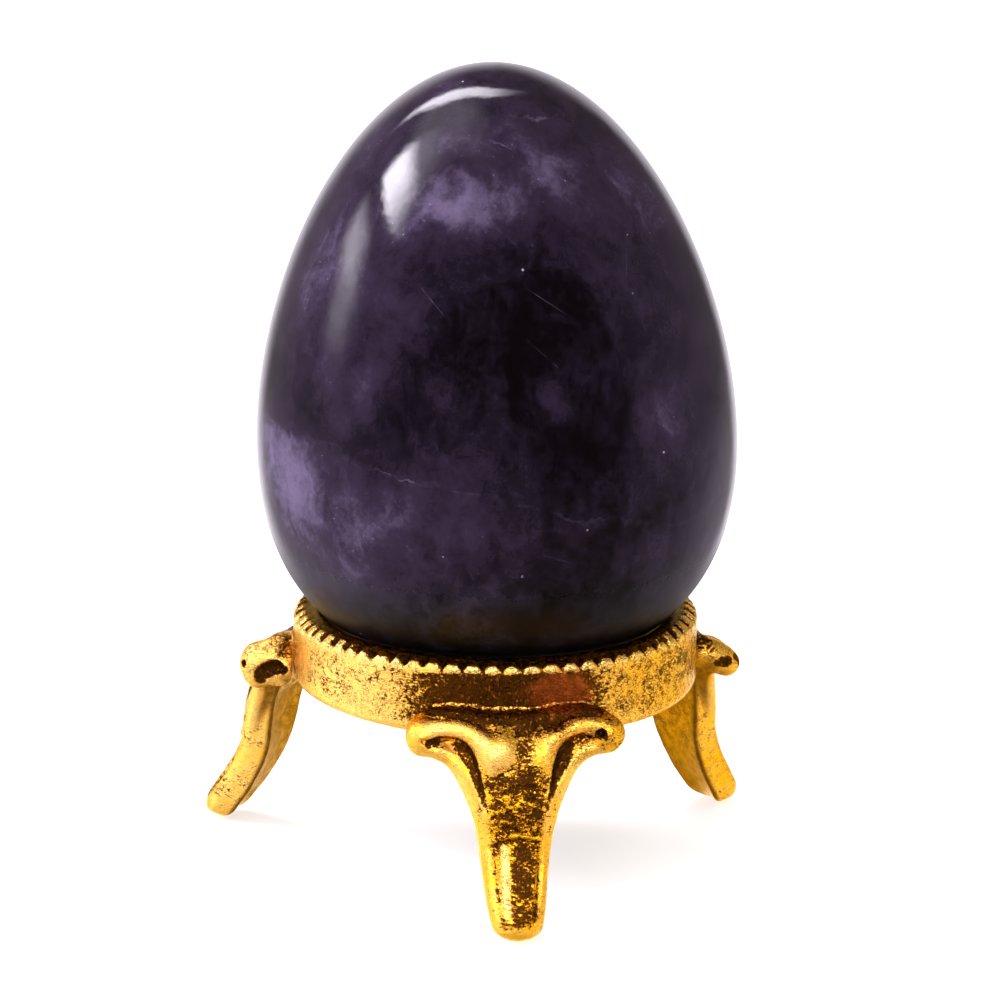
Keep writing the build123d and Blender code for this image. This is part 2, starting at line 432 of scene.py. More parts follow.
def gilt(name, coppery=0.0):
    """Worn gilding over a rough casting: bright gold, brown tarnish in hollows, grain, pits and scratches."""
    m = bpy.data.materials.new(name)
    N = Nodes(m)
    co = N.new("ShaderNodeTexCoord").outputs["Object"]
    mm = N.vec("SCALE", co, scale=1000.0)
    cav = N.attr("hollow")
    wide = N.attr("hollow_wide_and_seat_shade")
    n_big = N.noise(mm, 0.30, 3, 0.55, 0.4).outputs[0]
    n_mid = N.noise(mm, 1.2, 5, 0.62, 0.3).outputs[0]
    n_fine = N.noise(mm, 4.4, 4, 0.6).outputs[0]
    n_grain = N.noise(mm, 9.5, 2, 0.55).outputs[0]
    worm = N.noise(N.mapping(mm, (0, 0, 0), (0.30, 0.22, 0.0), (1.0, 1.0, 2.5)), 2.7, 4, 0.62, 0.5).outputs[0]
    # gold tone: pale where the gilding is worn thin and where a painted highlight is laid in, deep and warm where it
    # is whole
    tone = N.math("ADD", N.attr("worn_and_painted_light"), N.math("MULTIPLY", N.math("SUBTRACT", n_big, 0.5), 0.8))
    tone = N.math("ADD", tone, N.math("MULTIPLY", N.math("SUBTRACT", n_mid, 0.5), 0.9), clamp=True)
    gold = N.mix(tone, (0.86, 0.390, 0.010), (1.0, 0.63, 0.185))
    # painted shade: the backs of the legs, turned in under the ring, are painted a deeper, duller gold
    back = N.attr("back_shade")
    gold = N.mix(N.math("MULTIPLY", back, N.range(n_mid, 0.3, 0.7, 0.78, 0.97)), gold, (0.24, 0.087, 0.002))
    # painted shade: a dark line along the back edges, where a step would throw shade
    groove_shade = N.attr("groove_shade")
    gold = N.mix(N.math("MULTIPLY", groove_shade, N.range(n_mid, 0.3, 0.7, 0.70, 1.0)), gold, (0.115, 0.040, 0.002))
    # tarnish: in hollows, and in patches that the finer noise breaks up; the per-piece attribute also adds painted
    # shade, and takes tarnish away where a highlight is painted
    dirt_and_shade = N.math("ADD", N.math("MULTIPLY", cav, 14.0), N.math("MULTIPLY", wide, 3.0))
    dirt_and_shade = N.math("ADD", dirt_and_shade, N.attr("tarnish_and_painted_light"))
    dirt_and_shade = N.math("ADD", dirt_and_shade, N.math("MULTIPLY", N.math("SUBTRACT", n_big, 0.5), 0.9))
    dirt_and_shade = N.math("ADD", dirt_and_shade, N.math("MULTIPLY", N.math("SUBTRACT", n_mid, 0.5), 1.3))
    dirt_and_shade = N.math("ADD", dirt_and_shade, N.math("MULTIPLY", N.math("SUBTRACT", n_fine, 0.5), 1.1))
    dirt_and_shade = N.math("ADD", dirt_and_shade, N.math("MULTIPLY", N.math("SUBTRACT", worm, 0.5), 1.9))
    dirt_and_shade = N.math("ADD", dirt_and_shade, N.math("MULTIPLY", N.math("SUBTRACT", n_grain, 0.5), 0.9))
    tarnish_and_shade_mask = N.range(dirt_and_shade, 0.22, 0.66)
    glint = N.noise(N.mapping(mm, (0, 0, 0), (0.2, 0.1, 0.4), (1.0, 1.0, 0.62)), 5.2, 3, 0.66, 0.3).outputs[0]
    tarnish_and_shade_mask = N.math("MULTIPLY", tarnish_and_shade_mask, N.range(glint, 0.575, 0.665, 1.0, 0.38))
    col = N.mix(N.range(tarnish_and_shade_mask, 0.0, 0.5), gold, (0.26, 0.085, 0.006))
    col = N.mix(N.range(tarnish_and_shade_mask, 0.4, 1.0), col, (0.034, 0.011, 0.0016))
    # near black where the dirt measure runs highest: packed grime, and painted shade in the ring's seat, the pockets
    # and the holes
    col = N.mix(N.range(dirt_and_shade, 1.15, 1.95), col, (0.006, 0.0022, 0.0007))
    # brown left in the finest furrows of the casting skin
    furrow = N.math("MULTIPLY", N.range(N.math("ABSOLUTE", N.math("SUBTRACT", worm, 0.47)), 0.0, 0.050, 1.0, 0.0), N.range(n_mid, 0.36, 0.58, 0.30, 1.0))
    furrow = N.math("MULTIPLY", furrow, N.attr("crinkle"))
    col = N.mix(furrow, col, (0.150, 0.048, 0.003))
    # pits
    pit = N.voronoi(mm, 2.3)
    pits = N.math("MULTIPLY", N.range(pit.outputs["Distance"], 0.05, 0.16, 1.0, 0.0), N.range(n_fine, 0.53, 0.60))
    col = N.mix(pits, col, (0.035, 0.012, 0.003))
    # reddish copper bleeding through beside the front bracket
    warp = N.math("MULTIPLY", N.math("SUBTRACT", n_mid, 0.5), 4.0)
    d = N.vec("DISTANCE", N.mapping(mm, (0, 0, 0), (0, 0, 0), (0.62, 0.3, 1.0)), (4.0 * 0.62, -16.0 * 0.3, 18.5))
    stain = N.math("MULTIPLY", N.range(N.math("ADD", d, warp), 0.7, 2.2, 0.85, 0.0), N.range(worm, 0.36, 0.62, 1.0, 0.55))
    col = N.mix(stain, col, (0.36, 0.070, 0.012))
    if coppery:
        col = N.mix(N.range(n_mid, 0.40, 0.7, 0.0, coppery), col, (0.66, 0.20, 0.04))
    rough = N.math("ADD", N.range(n_mid, 0.3, 0.75, 0.09, 0.19), N.math("MULTIPLY", tarnish_and_shade_mask, 0.10))
    rough = N.math("ADD", rough, N.math("MULTIPLY", pits, 0.25), clamp=True)
    # relief: casting lumps, grain, fine scratches
    sc = N.noise(N.mapping(mm, (0, 0, 0), (0.4, 0.5, 0.3), (9.0, 9.0, 0.7)), 1.0, 2, 0.5).outputs[0]
    h = N.math("ADD", N.math("MULTIPLY", n_fine, 0.8), N.math("MULTIPLY", n_grain, 0.4))
    h = N.math("ADD", h, N.math("MULTIPLY", worm, 0.9))
    h = N.math("ADD", h, N.math("MULTIPLY", sc, 0.14))
    h = N.math("SUBTRACT", h, N.math("MULTIPLY", pits, 0.8))
    h = N.math("SUBTRACT", h, N.math("MULTIPLY", furrow, 0.70))
    b1 = N.bump(n_mid, 0.060)
    b2 = N.bump(h, 0.056, b1)
    N.finish(Base_Color=col, Metallic=1.0, Roughness=rough, Normal=b2, Specular_Tint=(1.0, 0.80, 0.42, 1.0))
    return m


def egg_radius(z):
    u = min(max((z - EGG_ZC) / EGG_B, -1.0), 1.0)
    return EGG_A * math.sqrt(1 - u * u) * (1 + EGG_C[0] * u + EGG_C[1] * u**2 + EGG_C[2] * u**3)


def on_egg(N, vec, az, z, half_w, half_h, tilt=0.0, depth=4.0):
    """Distance from a place on the egg, 1 at the given half width and half height."""
    a = math.radians(az)
    r = egg_radius(z) * 0.985
    n = N.new("ShaderNodeMapping", vector_type="TEXTURE")
    N.put(n.inputs[0], vec)
    n.inputs[1].default_value = (r * math.sin(a), -r * math.cos(a), z)
    n.inputs[2].default_value = (0.0, math.radians(tilt), a)
    n.inputs[3].default_value = (half_w, depth, half_h)
    return N.vec("LENGTH", n.outputs[0])


# veils in the stone: azimuth from the front leg (degrees), height, half width, half height (mm), strength
VEILS = [
    (-67, 34.5, 5.5, 6.0, 0.78), (-48, 33.0, 8.5, 6.0, 0.46), (-24, 32.5, 6.5, 5.0, 0.32), (-2, 32.0, 5.5, 3.6, 0.05),
    (-55, 27.0, 9.0, 4.0, 0.32), (-20, 26.5, 8.0, 3.4, 0.12), (-14, 57.6, 5.2, 2.4, 0.85), (-33, 57.2, 4.0, 2.4, 0.48),
    (13, 59.6, 4.2, 3.2, 0.42), (-30, 61.2, 4.0, 1.3, 0.25), (9.5, 43.4, 1.5, 1.6, 0.52), (40, 41.0, 3.4, 3.8, 0.52),
    (-22, 42.4, 2.0, 1.7, 0.12), (-40, 42.8, 1.8, 2.8, 0.46), (-47, 40.2, 1.6, 2.4, 0.45), (-5, 43.0, 1.1, 4.2, 0.30),
    (-67, 50.0, 3.2, 9.0, 0.40), (-53, 44.5, 2.2, 3.2, 0.34), (58, 57.0, 4.5, 6.5, 0.34), (60, 32.0, 5.0, 6.0, 0.30),
    (24, 50.5, 1.6, 4.5, 0.16), (20, 28.0, 8.0, 4.0, 0.04), (100, 44.0, 6.0, 8.0, 0.50), (128, 33.0, 9.0, 6.0, 0.62),
    (165, 52.0, 7.0, 5.0, 0.75), (-150, 36.0, 8.0, 6.0, 0.66), (-112, 47.0, 6.0, 8.0, 0.55), (-170, 26.0, 8.0, 4.0, 0.40),
    (85, 24.0, 8.0, 3.5, 0.30), (180, 42.0, 4.0, 4.0, 0.40),
    (0, 50.5, 9.0, 7.0, -0.42), (17, 45.5, 9.0, 12.0, -0.24), (24, 36.5, 8.0, 9.0, -0.30), (4, 39.0, 7.0, 6.0, -0.22), (-13, 44.6, 7.0, 5.0, -0.34), (-30, 39.5, 7.0, 4.5, -0.22), (24, 25.5, 14.0, 4.5, -0.30), (-20, 23.5, 14.0, 3.2, -0.30), (-6, 27.5, 9.0, 4.0, -0.20), (-24, 55.8, 4.0, 2.0, 0.30), (-32, 55.0, 3.0, 2.5, 0.22), (1, 45.2, 2.4, 2.4, -0.25), (-80, 42.2, 3.2, 3.2, -0.45), (-70, 60.5, 4.0, 3.0, 0.50), (-70, 64.4, 3.5, 1.6, 0.50),
    (5, 62.0, 9.0, 3.5, 0.30), (-60, 53.0, 5.0, 9.0, 0.36), (-45, 50.0, 4.0, 6.0, 0.18), (32, 58.5, 5.0, 4.0, 0.22), (140, 58.0, 6.0, 4.0, 0.30), (-120, 26.0, 6.0, 4.0, 0.3),
    (70, 46.0, 3.0, 6.0, -0.20), (-90, 30.0, 5.0, 6.0, 0.40), (-8, 30.0, 12.0, 4.5, -0.12), (22, 30.5, 9.0, 5.0, -0.20), (-130, 58.0, 4.0, 3.5, -0.25), (150, 42.0, 5.0, 5.0, -0.25),
]
# thin healed cracks: azimuth, height, half length, half breadth, tilt (degrees), strength
CRACKS = [
    (-24, 50.5, 5.6, 0.055, 41, 0.55), (-3, 55.4, 1.9, 0.06, 38, 0.8), (8.5, 50.6, 2.6, 0.05, 34, 0.6), (6.5, 46.7, 2.4, 0.05, 42, 0.6),
    (-30, 36.7, 3.4, 0.07, 9, 0.9), (-12, 35.9, 3.0, 0.05, 5, 0.5), (9, 30.4, 1.6, 0.05, 20, 0.5), (14, 63.3, 2.0, 0.16, 6, 1.3),
    (-4, 61.6, 1.3, 0.09, 18, 0.9), (36, 52.5, 4.5, 0.05, -68, 0.35), (46, 57.0, 5.0, 0.05, -74, 0.35), (120, 46.0, 6.0, 0.07, 30, 0.6),
    (-140, 48.0, 5.0, 0.06, -36, 0.6), (160, 34.0, 6.0, 0.07, 14, 0.7), (-100, 34.0, 4.0, 0.06, -20, 0.5),
]


def amethyst(name):
    """Polished dark quartz: near-black purple with drifting lavender veils, healed cracks and a few sparks painted in
    as glints.
    """
    m = bpy.data.materials.new(name)
    N = Nodes(m)
    co = N.new("ShaderNodeTexCoord").outputs["Object"]
    mm = N.vec("SCALE", co, scale=1000.0)
    w1 = N.noise(mm, 0.16, 4, 0.58)
    off = N.vec("SCALE", N.vec("SUBTRACT", w1.outputs["Color"], (0.5, 0.5, 0.5)), scale=6.0)
    wv = N.vec("ADD", mm, off)
    w2 = N.noise(mm, 0.9, 3, 0.6)
    wl = N.vec("ADD", mm, N.vec("SCALE", N.vec("SUBTRACT", w2.outputs["Color"], (0.5, 0.5, 0.5)), scale=0.9))
    veil = N.noise(wv, 0.17, 6, 0.62, 0.3).outputs[0]
    wisp = N.noise(N.mapping(wv, (0, 0, 0), (0.3, 0.5, 0.2), (1.0, 1.0, 0.55)), 0.46, 6, 0.62, 0.5).outputs[0]
    fine = N.noise(wl, 2.6, 5, 0.72).outputs[0]
    total = None
    for az, z, hw, hh, k in VEILS:
        s = N.range(on_egg(N, wv, az, z, hw, hh), 0.2, 1.25, k, 0.0)
        total = s if total is None else N.math("ADD", total, s)
    # a healed break on the left: cloudy below it, clear above
    xyz = N.new("ShaderNodeSeparateXYZ")
    N.put(xyz.inputs[0], wl)
    ledge = N.math("ADD", xyz.outputs[2], N.math("MULTIPLY", xyz.outputs[0], 0.20))
    ledge = N.math("ADD", ledge, N.math("MULTIPLY", N.math("SUBTRACT", w1.outputs[0], 0.5), 5.0))
    near = N.range(on_egg(N, mm, -66, 37.0, 8.0, 7.0), 0.30, 1.20, 1.0, 0.0)
    step = N.math("MULTIPLY", N.range(ledge, 34.25, 35.25, 0.24, -0.24), near)
    total = N.math("ADD", total, step)
    dens = N.math("ADD", total, N.math("MULTIPLY", N.math("SUBTRACT", veil, 0.5), 1.15))
    dens = N.math("ADD", dens, N.math("MULTIPLY", N.math("SUBTRACT", wisp, 0.5), 1.25))
    dens = N.math("ADD", dens, N.math("MULTIPLY", N.math("SUBTRACT", fine, 0.5), 0.46))
    curd = N.noise(wl, 0.95, 5, 0.66, 0.6).outputs[0]
    dens = N.math("ADD", dens, N.math("MULTIPLY", N.math("SUBTRACT", curd, 0.5), 0.62))
    # no light reaches the foot, down in the seat
    sep = N.new("ShaderNodeSeparateXYZ")
    N.put(sep.inputs[0], mm)
    height = sep.outputs[2]
    dens = N.math("ADD", dens, N.range(height, 20.5, 27.0, -0.55, 0.0))
    t1 = N.range(dens, -0.72, 0.66)
    t2 = N.range(dens, 0.35, 1.45)
    col = N.mix(t1, (0.0022, 0.0013, 0.0028), (0.036, 0.023, 0.049))
    col = N.mix(t2, col, (0.168, 0.128, 0.230))
    hair = N.math("MULTIPLY", N.range(N.math("ABSOLUTE", N.math("SUBTRACT", ledge, 34.75)), 0.0, 0.24, 0.50, 0.0), N.range(on_egg(N, mm, -74, 37.6, 4.0, 4.0), 0.2, 1.3, 1.0, 0.25))
    near_crack = N.range(curd, 0.36, 0.60, 0.25, 1.0)
    for az, z, hl, hb, tilt, k in CRACKS:
        s = N.range(on_egg(N, wl if hb > 0.06 else mm, az, z, hl, hb, tilt, 1.5), 0.3, 1.1, k, 0.0)
        hair = N.math("MAXIMUM", hair, s)
    hair = N.math("MULTIPLY", hair, N.range(wisp, 0.40, 0.62, 0.08, 1.0))
    hair = N.math("MULTIPLY", hair, near_crack)
    col = N.mix(N.math("MULTIPLY", hair, 0.40), col, (0.26, 0.21, 0.33))
    # sparks: painted glints, bright specks laid into the colour
    sp = N.voronoi(mm, 0.62)
    spark_glint = N.math("MULTIPLY", N.range(sp.outputs["Distance"], 0.03, 0.075, 1.0, 0.0), N.range(wisp, 0.57, 0.63))
    col = N.mix(spark_glint, col, (0.62, 0.55, 0.70))
    sp2 = N.voronoi(wl, 1.7)
    dust = N.math("MULTIPLY", N.range(sp2.outputs["Distance"], 0.06, 0.15, 1.0, 0.0), N.math("MULTIPLY", N.range(fine, 0.52, 0.60), N.range(dens, 0.05, 0.75, 0.0, 0.75)))
    col = N.mix(dust, col, (0.36, 0.30, 0.43))
    rough = N.math("ADD", N.range(fine, 0.3, 0.7, 0.05, 0.10), N.range(height, 22.6, 31.0, 0.42, 0.0))
    h = N.math("ADD", N.noise(mm, 0.5, 2, 0.5).outputs[0], N.math("MULTIPLY", hair, -0.06))
    nrm = N.bump(h, 0.02)
    N.finish(Base_Color=col, Roughness=rough, IOR=1.52, Normal=nrm)
    return m


MAT_EGG = amethyst("amethyst_polished")
MAT_GILT = gilt("gilt_casting")
MAT_BRAZE = gilt("braze_metal", 0.10)


# ---------------------------------------------------------------------------
# egg
# ---------------------------------------------------------------------------
def make_egg():
    na, nt = 288, 200
    t = np.linspace(0, math.pi, nt + 1)[1:-1]
    u = np.cos(t)
    r = EGG_A * np.sin(t) * (1 + EGG_C[0] * u + EGG_C[1] * u**2 + EGG_C[2] * u**3)
    z = EGG_ZC + EGG_B * u
    ph = np.linspace(0, 2 * math.pi, na, endpoint=False)
    X = r[:, None] * np.cos(ph)[None]
    Y = r[:, None] * np.sin(ph)[None]
    Z = np.repeat(z[:, None], na, 1)
    P = np.stack([X, Y, Z], -1).reshape(-1, 3)
    P = np.concatenate([P, [(0, 0, EGG_ZC + EGG_B), (0, 0, EGG_ZC - EGG_B)]])
    # hand polish: the surface wanders by a few hundredths of a millimetre
    n = P - np.array([0, 0, EGG_ZC - 4.0])
    n /= np.linalg.norm(n, axis=1, keepdims=True)
    P = P + n * (0.022 * fbm(P * 0.13, 11, 2))[:, None] - n * 0.012
    faces = []
    rows = nt - 1
    for i in range(rows - 1):
        a, b = i * na, (i + 1) * na
        for j in range(na):
            k = (j + 1) % na
            faces.append((a + j, b + j, b + k, a + k))
    top, bot = len(P) - 2, len(P) - 1
    for j in range(na):
        k = (j + 1) % na
        faces.append((top, j, k))
        faces.append((bot, (rows - 1) * na + k, (rows - 1) * na + j))
    # lean in the seat
    az, le = math.radians(EGG_LEAN_AZ), math.radians(EGG_LEAN)
    R = (Matrix.Rotation(az, 3, "Z") @ Matrix.Rotation(le, 3, "Y") @ Matrix.Rotation(-az, 3, "Z"))
    R = np.array(R)
    P = (P - (0, 0, EGG_LEAN_Z)) @ R.T + (0, 0, EGG_LEAN_Z)
    if signed_volume(P, faces) < 0:
        faces = [f[::-1] for f in faces]
    return new_piece("polished_egg", P, faces, "stone_egg", "egg", MAT_EGG)


# ---------------------------------------------------------------------------
# ring band
# ---------------------------------------------------------------------------
def make_band():
    per = 20
    na = NOTCHES * per
    prof = []                     # (r, z, notch share)

    def run(a, b, n, end=False):
        for i in range(n + (1 if end else 0)):
            t = i / n
            prof.append((a[0] + (b[0] - a[0]) * t, a[1] + (b[1] - a[1]) * t))

    lip = 1.05
    for i in range(9):            # lower lip, a full round
        a = -math.pi / 2 + (math.pi / 2) * i / 9
        prof.append((BAND_R - lip + lip * math.cos(a), BAND_Z0 + lip + lip * math.sin(a)))
    run((BAND_R, BAND_Z0 + lip), (BAND_R, 18.9), 9)
    run((BAND_R, 18.9), (BAND_R, BEVEL_Z - 0.05), 9)
    run((BAND_R - 0.03, BEVEL_Z), (RIM_R + 0.03, RIM_Z - 0.03), 7)
    run((RIM_R, RIM_Z), (15.0, RIM_Z - 0.02), 4)
    run((15.0, RIM_Z - 0.02), (14.62, RIM_Z - 0.06), 2)
    run((14.58, RIM_Z - 0.10), (BORE_R - 0.08, 20.40), 4)
    run((BORE_R - 0.09, 20.30), (BORE_R + 0.05, BAND_Z0 + 0.55), 9)
    for i in range(5):
        a = math.pi + (math.pi / 2) * i / 5
        prof.append((BORE_R + 0.55 + 0.5 * math.cos(a), BAND_Z0 + 0.5 + 0.5 * math.sin(a)))
    prof = np.array(prof)
    npf = len(prof)
    th = np.arange(na) * 2 * math.pi / na
    # azimuth from -Y towards +X
    rng = np.random.default_rng(5)
    depth = 0.36 * (1 + 0.22 * rng.normal(size=NOTCHES))
    width = 0.31 * (1 + 0.12 * rng.normal(size=NOTCHES))
    shift = 0.05 * rng.normal(size=NOTCHES)
    phase0 = math.radians(-0.245)
    k = (th - phase0) / (2 * math.pi) * NOTCHES
    idx = np.floor(k).astype(int) % NOTCHES
    fr = k - np.floor(k)
    g = 1 - np.abs(fr - 0.5 - shift[idx]) / width[idx]      # 1 in the middle of a notch
    R = np.repeat(prof[:, 0][:, None], na, 1)
    Z = np.repeat(prof[:, 1][:, None], na, 1)
    z0 = prof[:, 1]
    # how deep the notch cuts at each place along the section
    s = np.zeros(npf)
    outer = np.arange(npf) < 9 + 9 + 9 + 7 + 4
    s[outer] = sstep(BEVEL_Z - 0.62, BEVEL_Z + 0.20, z0[outer])
    s[9 + 9 + 9 + 7:9 + 9 + 9 + 7 + 4] = [0.95, 0.55, 0.22, 0.0]
    run_out = (1 - s)
    cut = np.clip(g[None, :] - run_out[:, None] * 1.15, 0, 1)
    cut = cut**0.85 * depth[idx][None, :]
    low = sstep(0, 1, s)[:, None]
    R = R - cut * 0.72
    Z = Z - cut * 0.62 * low
    # teeth ends rounded, and worn unevenly
    tooth = np.clip(1 - np.abs(np.where(fr > 0.5, fr - 1, fr)) / 0.22, 0, 1)
    crest = np.exp(-((np.arange(npf) - 34) / 2.2)**2)
    wear = 0.05 + 0.05 * perlin(np.stack([np.cos(th) * 3, np.sin(th) * 3, th * 0], 1), 3)
    Z = Z - crest[:, None] * (1 - tooth)[None] * wear[None]
    # bent by hand: the left side sits a little low and in, the front teeth a little high
    deg = (np.degrees(th) + 180) % 360 - 180
    up = np.clip((Z - BAND_Z0) / (RIM_Z - BAND_Z0), 0, 1)
    left = np.exp(-((deg + 92) / 38)**2)[None]
    rim = sstep(14.2, 15.5, R)
    R = R - 0.17 * left * rim
    Z = Z - 0.50 * left * up * rim + 0.24 * np.exp(-((deg + 62) / 42)**2)[None] * (1 - up)
    Z = Z + 0.18 * np.exp(-(deg / 42)**2)[None] * (np.exp(-((np.arange(npf) - 29) / 4.5)**2))[:, None]
    P = np.stack([R * np.sin(th)[None], -R * np.cos(th)[None], Z], -1).reshape(-1, 3)
    faces = []
    for i in range(npf):
        a, b = i * na, ((i + 1) % npf) * na
        for j in range(na):
            q = (j + 1) % na
            faces.append((a + j, b + j, b + q, a + q))
    if signed_volume(P, faces) < 0:
        faces = [f[::-1] for f in faces]
    N = vertex_normals(P, faces)
    wall = ((z0 > BAND_Z0) & (z0 < 20.0)).astype(float)[:, None].repeat(na, 1).reshape(-1)
    amp = 0.035 * fbm(P * 0.42, 21, 3) + 0.022 * fbm(P * 1.5, 22, 2)
    P = P + N * (amp * (0.35 + 0.65 * wall))[:, None]
    N = vertex_normals(P, faces)
    h1, h2 = hollows(P, N, faces, (3, 14))
    # painted shade where the stone sits and inside the bore, and the notch floors darkened
    seat_shade = np.zeros(npf)
    seat_shade[36:] = 0.34
    seat_shade[34:36] = 0.12
    seat_shade[46:] = 0.20
    h2 = h2 + np.repeat(seat_shade, na) + (cut * np.where(np.arange(npf) < 28, 0.22, 0.80)[:, None]).reshape(-1)
    # the wall is painted a darker brown above each bracket
    stain_and_painted_light = np.zeros(len(P))
    here = np.degrees(np.arctan2(P[:, 0], -P[:, 1]))
    for az, splay in LEGS.values():
        gap = np.abs((here - az + 3.0 + 180) % 360 - 180)
        stain_and_painted_light = stain_and_painted_light + 0.98 * np.exp(-(gap / 26.5)**4) * sstep(14.9, 16.0, P[:, 2])
    # the bevel behind the teeth is painted dark, darkest at the front: painted shade; the teeth's outer ends at the
    # sides, and a line along the wall's top edge between the notches, are painted bright: painted highlights
    row = np.repeat(np.arange(npf), na)
    gap_f = np.clip(np.tile(g, npf), 0, 1)
    lit_teeth_ends = sstep(38, 68, np.abs(here)) * (1 - sstep(0.05, 0.65, gap_f)) * (row < 38)
    stain_and_painted_light = stain_and_painted_light + (0.60 + 0.70 * sstep(85, 55, np.abs(here))) * sstep(28.2, 30.5, row) * (row < 44) * (1 - 0.95 * lit_teeth_ends) - 0.10 * lit_teeth_ends * (row > 26)
    stain_and_painted_light = stain_and_painted_light - (0.34 + stain_and_painted_light) * np.exp(-((row - 26.6) / 1.7)**2) * (1 - 0.75 * sstep(0.1, 0.8, gap_f))
    # light tarnish along the wall; the extra darkening on the right is painted shade, and the paler gold on the left,
    # set next, is painted light from the lamp side
    stain_and_painted_light = stain_and_painted_light + (0.17 + 0.12 * sstep(24, 40, here) * sstep(104, 84, here)) * (row < 27)
    worn_and_painted_light = 0.38 + 0.42 * sstep(-14, -50, here) * sstep(-165, -130, here) - 0.12 * sstep(20, 45, here)
    # painted highlight: the wall's top edge and the teeth ends at the sides are painted paler
    worn_and_painted_light = worn_and_painted_light + 0.5 * np.exp(-((row - 26.6) / 2.0)**2) * (1 - sstep(0.0, 0.6, gap_f))
    worn_and_painted_light = worn_and_painted_light + 0.35 * lit_teeth_ends * (row > 26)
    crinkle = 0.70 + 0.35 * sstep(-45, 20, here)
    return new_piece("ring_band_cast", P, faces, "ring_band", "stand", MAT_GILT, {"hollow": h1, "hollow_wide_and_seat_shade": h2, "tarnish_and_painted_light": stain_and_painted_light, "worn_and_painted_light": worn_and_painted_light, "crinkle": crinkle})


# ---------------------------------------------------------------------------
# leg casting
# ---------------------------------------------------------------------------
def chain_gap(P, pts):
    """Distance from each point to the skin of a chain."""
    best = np.full(len(P), 9.0)
    for a, b in zip(pts[:-1], pts[1:]):
        ba = b[:3] - a[:3]
        t = np.clip(((P - a[:3]) @ ba) / (float(ba @ ba) + 1e-9), 0, 1)
        d = np.linalg.norm(P - a[:3] - t[:, None] * ba, axis=1) - (a[3] + t * (b[3] - a[3]))
        best = np.minimum(best, d)
    return best


